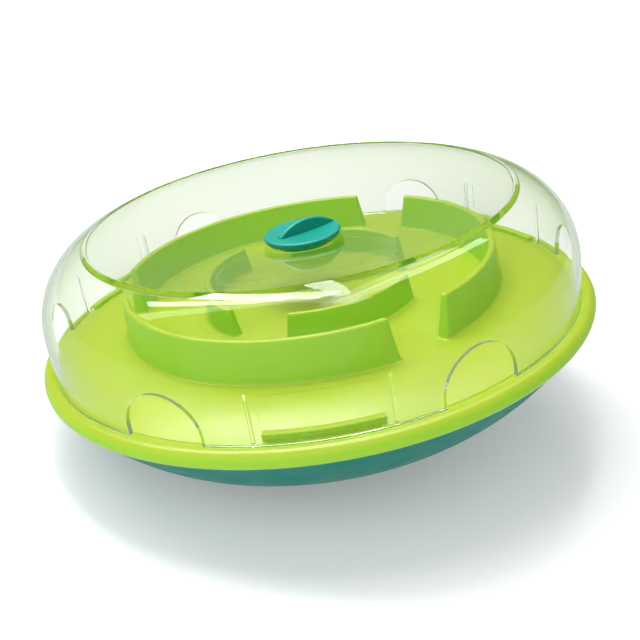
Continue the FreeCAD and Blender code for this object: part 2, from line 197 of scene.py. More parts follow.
class BowlCoverSizes(bpy.types.PropertyGroup):
    """Sizes of the clear cover"""

    radius: size(0.134, "Radius", "Outer radius of the cover")
    wall: size(0.0023, "Wall", "Wall thickness of the cover")
    shoulder_radius: size(0.038, "Shoulder Radius", "Radius of the rounded shoulder")
    shoulder_rise: size(0.0193, "Shoulder Rise", "Height of the straight side up to the shoulder")
    land_radius: size(0.1058, "Land Radius", "Outer radius of the flat ring on top")
    land_width: size(0.0007, "Land Width", "Width of that ring")
    step_depth: size(0.0007, "Step Depth", "Depth of the steep step inside the ring")
    step_run: size(0.0006, "Step Run", "How far that step leans in")
    funnel_depth: size(0.0176, "Funnel Depth", "Depth of the funnel below the ring")
    hub_radius: size(0.0205, "Hub Radius", "Radius of the flat at the bottom of the funnel")
    hole_radius: size(0.0146, "Hole Radius", "Radius of the filling hole")
    collar_depth: size(0.0028, "Collar Depth", "Depth of the collar round the filling hole")
    door_half: size(0.01885, "Door Half Width", "Half the width of a door")
    door_height: size(0.0226, "Door Height", "Height of a door above the cover's foot")
    edge_round: size(0.0003, "Edge Round", "Rounding of the cut edges")
    rib_depth: size(0.0014, "Rib Depth", "How far the ribs and lugs stand in from the wall")
    rib_width: size(0.0013, "Rib Width", "Width of a rib")
    rib_height: size(0.027, "Rib Height", "Height of a rib above the cover's foot")
    rib_taper: size(0.007, "Rib Taper", "Length of a rib's slanted top")
    rib_angle: slope(12.7, "Rib Angle", "Angle from the middle of a snap station to a rib")
    rib_lift: size(0.00064, "Rib Lift", "Gap left under the ribs and lugs for the floor")
    lug_height: size(0.0014, "Lug Height", "Height of a lug")
    lug_span: slope(9.9, "Lug Span", "Half the angle that a lug spans")
    panel_depth: size(0.0004, "Panel Depth", "Depth of the thinned panel between two ribs")
    panel_low: size(0.0046, "Panel Low", "Lower edge of that panel above the cover's foot")
    panel_height: size(0.018, "Panel Height", "Height of that panel")
    panel_slant: size(0.002, "Panel Slant", "Height over which the panel's upper and lower edges slant")
    panel_span: slope(10.8, "Panel Span", "Half the angle that a panel spans")


class BowlPlugSizes(bpy.types.PropertyGroup):
    """Sizes of the plug"""

    radius: size(0.0194, "Radius", "Widest radius of the cap")
    cap_height: size(0.0034, "Cap Height", "Height of the cap's rim")
    edge_round: size(0.0012, "Edge Round", "Rounding of the cap's top edge")
    neck_radius: size(0.0142, "Neck Radius", "Outer radius of the neck")
    neck_wall: size(0.0026, "Neck Wall", "Wall of the neck")
    neck_depth: size(0.0049, "Neck Depth", "Length of the neck below the cap")
    neck_round: size(0.0004, "Neck Round", "Rounding of the neck's edges")
    dish_radius: size(0.0176, "Dish Radius", "Radius of the finger dish")
    dish_depth: size(0.0007, "Dish Depth", "Depth of the finger dish")
    fin_rise: size(0.0057, "Fin Rise", "Height of the fin above the cap's rim")
    fin_reach: size(0.0162, "Fin Reach", "Half the length of the fin")
    fin_shift: size(0.0026, "Fin Shift", "How far the fin's middle lies from the cap's")
    fin_half: size(0.0019, "Fin Half Width", "Half the width of the fin at its foot")
    fin_crest: size(0.0014, "Fin Crest", "Half the width of the fin at its crest")
    fin_round: size(0.00135, "Fin Round", "Rounding of the fin's crest")
    fin_turn: slope(29.0, "Fin Turn", "Direction of the fin")


class BowlStageSizes(bpy.types.PropertyGroup):
    """How the floor and the camera stand to the bowl"""

    turn: slope(1.75, "Turn", "Turn of the whole view about the bowl")
    lean: slope(8.70, "Lean", "How far the floor leans, because the bowl is tipped on it")
    contact_side: bpy.props.FloatProperty(
        name="Contact Side", description="How far to the side the base touches the floor",
        default=-0.0618, unit="LENGTH", precision=5)
    contact_height: size(0.00288, "Contact Height", "Height of that point on the rounded base")
    camera_place: bpy.props.FloatVectorProperty(
        name="Camera Place", description="Where the camera stands",
        default=(0.0162, -0.4789, 0.2635), size=3, subtype="TRANSLATION")
    camera_pitch: slope(24.12, "Camera Pitch", "How far the camera looks down")
    camera_roll: slope(-9.52, "Camera Roll", "Roll of the camera about its line of sight")
    camera_lens: bpy.props.FloatProperty(
        name="Camera Lens", description="Focal length in millimetres", default=56.935, min=1.0)


class BowlColours(bpy.types.PropertyGroup):
    """Colours of the pieces and of what stands round them"""

    # Painted light: the lime's colour for level faces is a lit copy, and the one for steep faces a
    # shaded copy
    lime_painted_lit: colour((0.45, 0.575, 0.032), "Lime Level", "Lime plastic on level faces")
    lime_painted_shade: colour((0.365, 0.68, 0.040), "Lime Steep", "Lime plastic on steep faces")
    teal: colour((0.008, 0.215, 0.170), "Base Teal", "Teal plastic of the base")
    # Painted light: the plug's colour for level faces is a lit copy, and the one for steep faces a
    # darker shaded copy
    plug_painted_lit: colour((0.003, 0.37, 0.295), "Plug Level", "Teal plastic of the plug on level faces")
    plug_painted_shade: colour((0.001, 0.25, 0.175), "Plug Steep", "Teal plastic of the plug on steep faces")
    clear: colour((0.97, 0.985, 0.95), "Clear", "Clear plastic of the cover")
    clear_depth: colour((0.81, 0.87, 0.76), "Clear Depth", "What a long way through the cover leaves")
    studio: colour((0.34, 0.44, 0.22), "Studio", "Surroundings that glossy faces mirror")
    floor_mirrored: colour((0.72, 0.77, 0.76), "Floor Mirrored", "Floor as glossy faces mirror it")
    seen_through: colour((0.94, 0.96, 1.0), "Seen Through", "Surroundings seen through the cover")
    steel: colour((0.60, 0.60, 0.62), "Screw Steel", "Plated steel of the screws")
    floor: colour((0.92, 0.92, 0.92), "Floor", "Pale floor under the bowl")


# Middle angle and half span of each maze wall, and the middles of the snap stations, in degrees
OUTER_RING_WALLS = ((0.0, 50.5), (120.0, 50.5), (240.0, 50.5))
INNER_RING_WALLS = ((60.0, 38.5), (177.0, 45.0), (296.0, 38.5))
STATIONS = (30.0, 150.0, 270.0)
# Doors in the cover and screw wells under the base, evenly round
DOORS = 6
WELLS = 6

# Name, place, width, depth, roll in degrees and brightness of each lamp, in metres. The first set shows
# only as glare on glossy faces, and the second lights the bowl
GLARES = (
    ("glare_left", (-0.36, 0.30, 1.02), 0.12, 0.6, 22.0, 28.0),
    ("glare_middle", (-0.14, 0.30, 1.02), 0.15, 0.6, 24.0, 25.0),
    ("glare_right", (0.05, 0.30, 1.02), 0.08, 0.6, 25.0, 22.0),
    ("glare_far", (0.36, 0.20, 1.00), 0.12, 0.9, 25.0, 12.0),
)
SOFTBOXES = (
    ("key", (-0.45, -1.2, 0.9), 2.0, 1.5, 0.0, 1.1),
    ("window_left", (-0.33, 0.14, 1.05), 0.13, 1.0, 25.0, 7.5),
    ("window_middle", (-0.06, 0.16, 1.05), 0.15, 1.0, 25.0, 7.5),
    ("window_right", (0.24, 0.20, 1.05), 0.12, 0.9, 25.0, 7.5),
)


def shorter_turn(centre, start, end):
    """First angle of the shorter arc from start to end, and the angle that it turns through."""
    first = atan2(start[1] - centre[1], start[0] - centre[0])
    turn = atan2(end[1] - centre[1], end[0] - centre[0]) - first
    return first, turn - 2 * pi * round(turn / (2 * pi))


def arc(centre, start, end):
    """Points on the shorter arc from start to end, without the start."""
    first, turn = shorter_turn(centre, start, end)
    radius = hypot(start[0] - centre[0], start[1] - centre[1])
    steps = max(2, ceil(abs(turn) / ARC_STEP))
    return [(centre[0] + radius * cos(first + turn * i / steps),
             centre[1] + radius * sin(first + turn * i / steps)) for i in range(1, steps + 1)]


def rounded(before, corner, after, radius):
    """Points of a small round in place of a corner between two straight stretches."""
    here = Vector(corner)
    a = (Vector(before) - here).normalized()
    b = (Vector(after) - here).normalized()
    half = acos(a.dot(b)) / 2
    centre = here + (a + b).normalized() * radius / sin(half)
    start = here + a * radius / tan(half)
    end = here + b * radius / tan(half)
    first, turn = shorter_turn(centre, start, end)
    angles = [first + turn * i / ROUND_STEPS for i in range(ROUND_STEPS + 1)]
    return [(centre.x + radius * cos(t), centre.y + radius * sin(t)) for t in angles]


def softened(points, radius, closed=False):
    """A profile with a small round in place of each sharp corner."""
    result = []
    for i, here in enumerate(points):
        if not closed and i in (0, len(points) - 1):
            result.append(here)
            continue
        before, after = points[i - 1], points[(i + 1) % len(points)]
        a = Vector(here) - Vector(before)
        b = Vector(after) - Vector(here)
        if a.angle(b) < radians(CORNER_ANGLE):
            result.append(here)
        else:
            most = ROUND_SHARE * min(a.length, b.length)
            result += rounded(before, here, after, min(radius, most))
    return result


def lathe(points, segments=TURN_STEPS, closed=False, sweep=2 * pi):
    """A bmesh of a profile in (r, z) turned about the vertical axis."""
    bm = bmesh.new()
    verts = [bm.verts.new((r, 0, z)) for r, z in points]
    ring = verts + verts[:1] if closed else verts
    edges = [bm.edges.new(pair) for pair in zip(ring, ring[1:])]
    full = sweep >= 2 * pi
    bmesh.ops.spin(bm, geom=verts + edges, cent=(0, 0, 0), axis=(0, 0, 1), angle=sweep,
                   steps=segments, use_merge=full, use_duplicate=False)
    if full:
        bmesh.ops.remove_doubles(bm, verts=bm.verts, dist=WELD)
    else:
        turn_about_z(bm, -sweep / 2)
    return bm


def outward(bm):
    """Turns all faces of a closed bmesh outwards."""
    bmesh.ops.recalc_face_normals(bm, faces=bm.faces)
    return bm


def prism(outline, push):
    """A closed block: a flat outline pushed along a direction."""
    bm = bmesh.new()
    face = bm.faces.new([bm.verts.new(point) for point in outline])
    pushed = bmesh.ops.extrude_face_region(bm, geom=[face])["geom"]
    bmesh.ops.translate(bm, verts=[v for v in pushed if isinstance(v, bmesh.types.BMVert)], vec=push)
    return outward(bm)


def joined(parts):
    """One bmesh of several that don't touch."""
    whole = bmesh.new()
    for bm in parts:
        mesh = bpy.data.meshes.new("part")
        bm.to_mesh(mesh)
        bm.free()
        whole.from_mesh(mesh)
        bpy.data.meshes.remove(mesh)
    return whole


def quarter():
    """Angles of a quarter turn in even steps."""
    return [pi / 2 * i / ROUND_STEPS for i in range(ROUND_STEPS + 1)]


def close_ends(bm):
    """Closes the open rings of a turned profile, or the two ends of a part turn."""
    open_edges = [e for e in bm.edges if e.is_boundary]
    bmesh.ops.holes_fill(bm, edges=open_edges, sides=0)
    return outward(bm)


def turn_about_z(bm, angle):
    """Turns a bmesh about the upright axis."""
    bmesh.ops.rotate(bm, verts=bm.verts, cent=(0, 0, 0), matrix=Matrix.Rotation(angle, 3, "Z"))
    return bm


def sharp_edges(bm, least=CORNER_ANGLE):
    """Edges whose two faces meet at more than the least angle."""
    return [e for e in bm.edges if len(e.link_faces) == 2 and e.calc_face_angle() > radians(least)]


def bevel_edges(bm, edges, width, segments=BEVEL_STEPS):
    """Rounds edges by a width."""
    bmesh.ops.bevel(bm, geom=edges, offset=width, offset_type="OFFSET", affect="EDGES",
                    segments=segments, profile=0.5, material=-1, clamp_overlap=True)


def make_object(name, bm, material=None, crease_angle=CREASE_ANGLE):
    """Turns a bmesh into a linked object with soft shading between its creases."""
    mesh = bpy.data.meshes.new(name)
    bm.to_mesh(mesh)
    bm.free()
    piece = bpy.data.objects.new(name, mesh)
    bpy.context.scene.collection.objects.link(piece)
    if material:
        mesh.materials.append(material)
    mesh.shade_smooth()
    mesh.set_sharp_from_angle(angle=radians(crease_angle))
    return piece


def settle(piece, crease_angle=CREASE_ANGLE):
    """Applies a piece's modifiers to its mesh."""
    graph = bpy.context.evaluated_depsgraph_get()
    graph.update()
    old = piece.data
    mesh = bpy.data.meshes.new_from_object(piece.evaluated_get(graph))
    piece.modifiers.clear()
    piece.data = mesh
    mesh.name = piece.name
    mesh.shade_smooth()
    mesh.set_sharp_from_angle(angle=radians(crease_angle))
    bpy.data.meshes.remove(old)


def combine(piece, tools, operation, crease_angle=CREASE_ANGLE):
    """Joins closed shells to a piece or cuts them from it, and throws the tools away."""
    helpers = [make_object("tool", bm) for bm in tools]
    for helper in helpers:
        change = piece.modifiers.new("change", "BOOLEAN")
        change.operation = operation
        change.solver = "EXACT"
        change.object = helper
    settle(piece, crease_angle)
    for helper in helpers:
        discard(helper)


def discard(piece):
    """Removes an object and its mesh."""
    mesh = piece.data
    bpy.data.objects.remove(piece)
    bpy.data.meshes.remove(mesh)


def as_tool(piece):
    """The bmesh of a helper piece, which is thrown away."""
    bm = bmesh.new()
    bm.from_mesh(piece.data)
    discard(piece)
    return bm


def even_shading(piece):
    """Lets large flat faces stay flat beside the fillets that leave them."""
    change = piece.modifiers.new("even", "WEIGHTED_NORMAL")
    change.mode = "FACE_AREA"
    change.keep_sharp = True


def rods(radius, low, high, circle):
    """Closed upright cylinders, one at each screw's place on their circle."""
    made = []
    for i in range(WELLS):
        bm = bmesh.new()
        bmesh.ops.create_cone(bm, cap_ends=True, cap_tris=False, segments=ROD_STEPS,
                              radius1=radius, radius2=radius, depth=high - low)
        bmesh.ops.translate(bm, verts=bm.verts, vec=(circle, 0, (low + high) / 2))
        made.append(turn_about_z(bm, 2 * pi * i / WELLS))
    return made


def rocker_side(s, inset):
    """Profile of the base from the edge of the foot to its brim, an inset inside the outer face."""
    centre = (s.foot_radius, s.rocker_radius)
    rocker = s.rocker_radius - inset
    knuckle = s.knuckle_radius - inset
    reach = s.rocker_radius - s.knuckle_radius
    first, last = s.rocker_slope, s.flare_slope
    knuckle_centre = (centre[0] + reach * sin(first), centre[1] - reach * cos(first))
    foot = (s.foot_radius, inset)
    join = (centre[0] + rocker * sin(first), centre[1] - rocker * cos(first))
    end = (knuckle_centre[0] + knuckle * sin(last), knuckle_centre[1] - knuckle * cos(last))
    brim = (s.brim_radius - inset / sin(last), BRIM_Z)
    return [foot] + arc(centre, foot, join) + arc(knuckle_centre, join, end) + [brim]


def finished(piece, node, body):
    """Hides the solid that a piece stands for and attaches the piece to the body it moves with."""
    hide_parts(node)
    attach(piece, body)


class BOWL_OT_base_shell(bpy.types.Operator):
    """Makes the teal rounded base with its screw wells"""

    bl_idname = "bowl.base_shell"
    bl_label = "Base Shell"

    def execute(self, context):
        s = context.scene.bowl_base
        inside = rocker_side(s, s.wall)
        inside.append((inside[-1][0], BRIM_Z + PAST))
        room = make_object("room", close_ends(lathe(inside)))
        # The columns come out of the room, so that they stay when the room is cut from the base
        combine(room, rods(s.column_radius, -PAST, s.column_top, s.well_circle), "DIFFERENCE")
        wells = rods(s.well_radius, -PAST, s.well_top, s.well_circle)
        holes = rods(s.hole_radius, 0.0, s.column_top + PAST, s.well_circle)
        piece = make_object("rounded_base", close_ends(lathe(rocker_side(s, 0.0))), teal_plastic())
        combine(piece, [as_tool(room)] + wells + holes, "DIFFERENCE")
        even_shading(piece)
        finished(piece, "base_shell", "bowl")
        return {"FINISHED"}


def fall_arc(s):
    """Centre, in (r, z), and radius of the arc along which the floor falls to the cover's seat."""
    drop = s.floor_rise - s.seat_rise - s.seat_step
    run = s.seat_inner - s.floor_flat
    radius = (run ** 2 + drop ** 2) / (2 * drop)
    return (s.floor_flat, BRIM_Z + s.rim_rise + s.floor_rise - radius), radius


def fall_height(s, r, depth=0.0):
    """Height of the falling floor at a radius, or of what lies a depth below it."""
    centre, radius = fall_arc(s)
    return centre[1] + sqrt((radius - depth) ** 2 - (r - s.floor_flat) ** 2)


def rim_centre(widest, corner):
    """Centre of the rim's arc that is upright at its widest point and ends at a corner."""
    run = widest[0] - corner[0]
    rise = widest[1] - corner[1]
    return (widest[0] - (run ** 2 + rise ** 2) / (2 * run), widest[1])


def tray_profile(s, brim_radius):
    """Half section of the tray, from its flat floor's edge round the rim to the floor's underside."""
    rim = BRIM_Z + s.rim_rise
    floor, seat = rim + s.floor_rise, rim + s.seat_rise
    fall = fall_arc(s)[0]
    widest = (s.rim_radius, rim)
    crest = (s.seat_outer + s.seat_step, rim + s.rim_crest)
    brim = (brim_radius, BRIM_Z)
    groove = (s.seat_inner, seat + s.seat_step)
    spigot_inner = s.spigot_outer - s.spigot_wall
    spigot_foot = BRIM_Z - s.spigot_depth

    def under(r):
        """A point on the underside of the falling floor."""
        return (r, fall_height(s, r, s.wall))

    top = [(s.floor_flat, floor)] + arc(fall, (s.floor_flat, floor), groove)
    top += [(s.seat_inner, seat), (s.seat_outer, seat), crest]
    top += arc(rim_centre(widest, crest), crest, widest)
    lip = arc(rim_centre(widest, brim), widest, brim)
    lip += [(s.lip_inner, BRIM_Z), (s.lip_inner, seat - s.wall), under(s.seat_inner)]
    lip += arc(fall, under(s.seat_inner), under(s.spigot_outer))
    below = [(s.spigot_outer, spigot_foot), (spigot_inner, spigot_foot), under(spigot_inner)]
    below += arc(fall, under(spigot_inner), (s.floor_flat, floor - s.wall))
    return softened(top + lip + below, s.edge_round)


def wall_plan(radius, half_width, half_length, corner):
    """Plan of a curved wall centred on +X at one height: a rounded oblong bent along its ring."""
    oblong = [(x * half_length, y * half_width) for x, y in ((-1, -1), (1, -1), (1, 1), (-1, 1))]
    plan = softened(oblong, corner, closed=True)
    bent = []
    for here, after in zip(plan, plan[1:] + plan[:1]):
        pieces = WALL_STEPS if hypot(after[0] - here[0], after[1] - here[1]) > half_length else 1
        for i in range(pieces):
            x = here[0] + (after[0] - here[0]) * i / pieces
            y = here[1] + (after[1] - here[1]) * i / pieces
            bent.append(((radius + y) * cos(x / radius), (radius + y) * sin(x / radius)))
    return bent


def wall_levels(s, height, half_length):
    """Height, half width, half length and corner radius of a maze wall from its foot to its top."""
    rest = [(s.ring_fillet * (1 - cos(a)), s.ring_fillet * (1 - sin(a))) for a in quarter()]
    levels = [(-s.wall / 2, rest[0][1]), *rest]
    low, high = s.ring_fillet, height - s.ring_round
    spread = [(z, grow, low) for z, grow in levels]
    spread += [(high + s.ring_round * sin(a), -s.ring_round * (1 - cos(a)), high) for a in quarter()]
    result = []
    for z, grow, side in spread:
        width = s.ring_top / 2 + (height - side) * tan(s.ring_draft) + grow
        length = half_length + (height - side) * tan(s.ring_end_draft) + grow
        result.append((z, width, length, max(s.ring_corner + grow, s.ring_corner / 4)))
    return result


def maze_wall(s, radius, height, angle, half_span):
    """A curved maze wall: fillet at its foot, drafted sides, leaning ends and a rounded top."""
    floor = BRIM_Z + s.rim_rise + s.floor_rise
    bm = bmesh.new()
    face = None
    for z, width, length, corner in wall_levels(s, height, radius * radians(half_span)):
        plan = wall_plan(radius, width, length, corner)
        if face is None:
            face = bm.faces.new([bm.verts.new((x, y, 0)) for x, y in plan])
        else:
            raised = bmesh.ops.extrude_face_region(bm, geom=[face, *face.edges, *face.verts])["geom"]
            face = next(f for f in raised if isinstance(f, bmesh.types.BMFace))
        for v, (x, y) in zip(face.verts, plan):
            v.co = (x, y, floor + z)
    return turn_about_z(outward(bm), radians(angle))


def snap_tab(s, angle):
    """A low curved tab with a catch along the top of its outer face."""
    rim = BRIM_Z + s.rim_rise
    low, top = rim + s.seat_rise, rim + s.tab_rise
    catch = s.tab_face + s.tab_catch
    profile = [(s.tab_inner, low), (s.tab_face, low), (s.tab_face, top - s.tab_lip - s.tab_catch),
               (catch, top - s.tab_lip), (catch, top), (s.tab_inner, top)]
    section = softened(profile, s.edge_round, closed=True)
    bm = close_ends(lathe(section, TAB_STEPS, closed=True, sweep=2 * s.tab_span))
    bevel_edges(bm, sharp_edges(bm, TAB_END_ANGLE), s.edge_round)
    return turn_about_z(bm, angle)


class BOWL_OT_treat_tray(bpy.types.Operator):
    """Makes the lime tray with its rim, maze walls, snap tabs and screw posts"""

    bl_idname = "bowl.treat_tray"
    bl_label = "Treat Tray"

    def execute(self, context):
        s = context.scene.bowl_tray
        base = context.scene.bowl_base
        floor = BRIM_Z + s.rim_rise + s.floor_rise
        section = close_ends(lathe(tray_profile(s, base.brim_radius)))
        piece = make_object("maze_tray", section, lime_plastic())
        walls = [maze_wall(s, s.outer_radius, s.outer_height, *wall) for wall in OUTER_RING_WALLS]
        walls += [maze_wall(s, s.inner_radius, s.inner_height, *wall) for wall in INNER_RING_WALLS]
        tabs = [snap_tab(s, radians(angle)) for angle in STATIONS]
        foot = base.column_top
        posts = rods(s.post_radius, foot, floor - s.wall / 2, base.well_circle)
        pilots = rods(s.pilot_radius, foot - PAST, foot + s.pilot_depth, base.well_circle)
        combine(piece, [joined(walls), joined(tabs), joined(posts)], "UNION")
        combine(piece, [joined(pilots)], "DIFFERENCE")
        even_shading(piece)
        finished(piece, "treat_tray", "bowl")
        return {"FINISHED"}


def cover_side(s, inset):
    """Profile of the cover from its foot over the shoulder to the flat ring, an inset inside."""
    centre = (s.radius - s.shoulder_radius, COVER_FOOT_Z + s.shoulder_rise)
    top = COVER_TOP_Z - inset
    bend = s.shoulder_radius - inset
    side = (s.radius - inset, centre[1])
    edge = (centre[0] + sqrt(bend ** 2 - (top - centre[1]) ** 2), top)
    return [(s.radius - inset, COVER_FOOT_Z), side] + arc(centre, side, edge)


def funnel_side(s, wall):
    """Profile of the funnel from the flat ring down to its hub, a wall outside."""
    hub = COVER_TOP_Z - s.funnel_depth
    land = s.land_radius - s.land_width + wall
    return [(land, COVER_TOP_Z - wall), (land - s.step_run, COVER_TOP_Z - s.step_depth - wall),
            (s.hub_radius, hub - wall)]


def cover_profile(s):
    """Closed half section of the cover's wall, with the collar round the filling hole."""
    hub = COVER_TOP_Z - s.funnel_depth
    foot = hub - s.collar_depth
    collar = [(s.hole_radius, hub), (s.hole_radius, foot), (s.hole_radius + s.wall, foot),
              (s.hole_radius + s.wall, hub - s.wall)]
    below = funnel_side(s, s.wall)
    outside = cover_side(s, 0.0) + funnel_side(s, 0.0) + collar
    return softened(outside + below[::-1] + cover_side(s, s.wall)[::-1], s.edge_round, closed=True)


def arch_block(s, angle):
    """A door's opening: an arch on straight legs, as a block through the cover's wall."""
    low = COVER_FOOT_Z - PAST
    spring = COVER_FOOT_Z + s.door_height - s.door_half
    left, right = (-s.door_half, spring), (s.door_half, spring)
    crown = (0.0, spring + s.door_half)
    plan = [(-s.door_half, low), (s.door_half, low), right]
    plan += arc((0.0, spring), right, crown) + arc((0.0, spring), crown, left)
    reach = 3 * s.wall
    return turn_about_z(prism([(s.radius - reach, y, z) for y, z in plan], (2 * reach, 0, 0)), angle)


def rib(s, angle):
    """A thin upright rib on the inside of the cover with a slanted top."""
    low, top = COVER_FOOT_Z + s.rib_lift, COVER_FOOT_Z + s.rib_height
    inner, root = s.radius - s.wall - s.rib_depth, s.radius - s.wall / 2
    side = [(inner, low), (root, low), (root, top), (inner, top - s.rib_taper)]
    return turn_about_z(prism([(r, -s.rib_width / 2, z) for r, z in side], (0, s.rib_width, 0)), angle)


def band(profile, half_span, angle):
    """A short curved bar, part of a ring."""
    return turn_about_z(close_ends(lathe(profile, TAB_STEPS, closed=True, sweep=2 * half_span)), angle)


def panel_block(s, angle):
    """What is taken from the wall's inside for a thinned panel with slanted edges."""
    bore = s.radius - s.wall
    inner, deep = bore - s.rib_depth, bore + s.panel_depth
    low = COVER_FOOT_Z + s.panel_low
    high = low + s.panel_height
    profile = [(inner, low), (bore, low), (deep, low + s.panel_slant), (deep, high - s.panel_slant),
               (bore, high), (inner, high)]
    return band(profile, s.panel_span, angle)


def lug(s, angle):
    """A low lug on the inside of the cover that snaps under the catch of a tab."""
    inner, root = s.radius - s.wall - s.rib_depth, s.radius - s.wall / 2
    low = COVER_FOOT_Z + s.rib_lift
    high = low + s.lug_height
    return band([(inner, low), (root, low), (root, high), (inner, high)], s.lug_span, angle)


class BOWL_OT_clear_cover(bpy.types.Operator):
    """Makes the clear cover with its doors, funnel, collar, ribs, lugs and thinned panels"""

    bl_idname = "bowl.clear_cover"
    bl_label = "Clear Cover"

    def execute(self, context):
        s = context.scene.bowl_cover
        shell = outward(lathe(cover_profile(s), closed=True))
        piece = make_object("domed_cover", shell, clear_plastic(), COVER_CREASE_ANGLE)
        stations = [radians(angle) for angle in STATIONS]
        panels = [panel_block(s, station) for station in stations]
        lugs = [lug(s, station) for station in stations]
        ribs = [rib(s, station + side * s.rib_angle) for station in stations for side in (-1, 1)]
        doors = [arch_block(s, 2 * pi * i / DOORS) for i in range(DOORS)]
        combine(piece, [joined(panels)], "DIFFERENCE", COVER_CREASE_ANGLE)
        combine(piece, [joined(lugs + ribs)], "UNION", COVER_CREASE_ANGLE)
        combine(piece, [joined(doors)], "DIFFERENCE", COVER_CREASE_ANGLE)
        even_shading(piece)
        finished(piece, "clear_cover", "cover")
        return {"FINISHED"}


def plug_profile(s):
    """Half section of the plug from the middle of its dish over the cap and down to its hollow neck."""
    low = PLUG_FOOT_Z + s.neck_depth
    top = low + s.cap_height
    belly = (s.radius, top - s.edge_round)
    brow = (s.radius - s.edge_round, top)
    bore = s.neck_radius - s.neck_wall
    spread = (s.dish_radius ** 2 + s.dish_depth ** 2) / (2 * s.dish_depth)
    middle, rim = (0.0, top - s.dish_depth), (s.dish_radius, top)
    dish = [middle] + arc((0.0, middle[1] + spread), middle, rim)
    side = [brow] + arc((brow[0], belly[1]), brow, belly) + [(brow[0], low)]
    neck = [(s.neck_radius, low), (s.neck_radius, PLUG_FOOT_Z), (bore, PLUG_FOOT_Z), (bore, low),
            (0.0, low)]
    return dish + softened(side + neck, s.neck_round)


def finger_fin(s, low, top):
    """The fin across the cap: an upright arched plate that narrows to a rounded crest."""
    radius = (s.fin_reach ** 2 + s.fin_rise ** 2) / (2 * s.fin_rise)
    centre = (s.fin_shift, top + s.fin_rise - radius)
    left, right = (s.fin_shift - s.fin_reach, top), (s.fin_shift + s.fin_reach, top)
    crest = (s.fin_shift, top + s.fin_rise)
    outline = [(left[0], low), (right[0], low), right]
    outline += arc(centre, right, crest) + arc(centre, crest, left)
    bm = prism([(x, -s.fin_half, z) for x, z in outline], (0, 2 * s.fin_half, 0))
    for v in bm.verts:
        rise = max(0.0, (v.co.z - top) / s.fin_rise)
        v.co.y *= 1 - rise * (1 - s.fin_crest / s.fin_half)
    upper = [e for e in sharp_edges(bm) if min(v.co.z for v in e.verts) > top - WELD]
    bevel_edges(bm, upper, s.fin_round, CREST_STEPS)
    return bm


class BOWL_OT_filler_plug(bpy.types.Operator):
    """Makes the plug: a round cap with a finger dish and a fin, on a hollow neck"""

    bl_idname = "bowl.filler_plug"
    bl_label = "Filler Plug"

    def execute(self, context):
        s = context.scene.bowl_plug
        low = PLUG_FOOT_Z + s.neck_depth
        piece = make_object("finger_plug", outward(lathe(plug_profile(s))), plug_plastic())
        fin = finger_fin(s, low + s.cap_height / 2, low + s.cap_height)
        combine(piece, [turn_about_z(fin, s.fin_turn)], "UNION")
        even_shading(piece)
        finished(piece, "filler_plug", "plug")
        return {"FINISHED"}


class BOWL_OT_base_screws(bpy.types.Operator):
    """Gives the six screws under the base their plated finish"""

    bl_idname = "bowl.base_screws"
    bl_label = "Base Screws"

    def execute(self, context):
        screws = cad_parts["base_screws"]
        screws.data.materials.clear()
        screws.data.materials.append(screw_steel())
        return {"FINISHED"}


def add_node(tree, kind, values=None, **settings):
    """A node with its settings and the values of some of its inputs."""
    made = tree.nodes.new(kind)
    for name, value in settings.items():
        setattr(made, name, value)
    for name, value in (values or {}).items():
        made.inputs[name].default_value = value
    return made


def new_material(name, values=None):
    """A node material, its tree, its Principled shader with some plain values, and its coordinates."""
    material = bpy.data.materials.new(name)
    material.use_nodes = True
    tree = material.node_tree
    shader = tree.nodes["Principled BSDF"]
    for key, value in (values or {}).items():
        shader.inputs[key].default_value = value
    return material, tree, shader, add_node(tree, "ShaderNodeTexCoord").outputs["Object"]


def feed(tree, given, socket):
    """Gives a socket its value, or the output that it follows."""
    if isinstance(given, bpy.types.NodeSocket):
        tree.links.new(given, socket)
    else:
        socket.default_value = given


def noise(tree, place, texture, low=0.0, high=1.0):
    """Cloudy values between two numbers over the object's own coordinates."""
    scale, detail = texture
    clouds = add_node(tree, "ShaderNodeTexNoise", {"Scale": scale, "Detail": detail})
    limits = {"From Min": NOISE_LOW, "From Max": NOISE_HIGH, "To Min": low, "To Max": high}
    spread = add_node(tree, "ShaderNodeMapRange", limits)
    tree.links.new(place, clouds.inputs["Vector"])
    tree.links.new(clouds.outputs["Fac"], spread.inputs["Value"])
    return spread.outputs["Result"]


def mixed(tree, share, first, second):
    """One colour mixed into another by a share, each of them a value or an output."""
    mix = add_node(tree, "ShaderNodeMix", data_type="RGBA")
    feed(tree, share, mix.inputs[MIX_SHARE])
    feed(tree, first, mix.inputs[MIX_FIRST])
    feed(tree, second, mix.inputs[MIX_SECOND])
    return mix.outputs[MIX_RESULT]


def calculated(tree, operation, first, second):
    """The result of an operation on two numbers, each of them a value or an output."""
    made = add_node(tree, "ShaderNodeMath", operation=operation)
    feed(tree, first, made.inputs[0])
    feed(tree, second, made.inputs[1])
    return made.outputs[0]


def covered(tree, share, under, over):
    """One shader over another by a share."""
    mix = add_node(tree, "ShaderNodeMixShader")
    for given, socket in zip((share, under, over), mix.inputs):
        tree.links.new(given, socket)
    return mix.outputs[0]


def bumps(tree, shader, height, strength, depth):
    """Lets a texture raise the surface by a depth in metres."""
    bump = add_node(tree, "ShaderNodeBump", {"Strength": strength, "Distance": depth})
    tree.links.new(height, bump.inputs["Height"])
    tree.links.new(bump.outputs["Normal"], shader.inputs["Normal"])


def solid(tone, shade=1.0):
    """A colour with no see-through part, darkened by a shade."""
    return (*(part * shade for part in tone), 1.0)


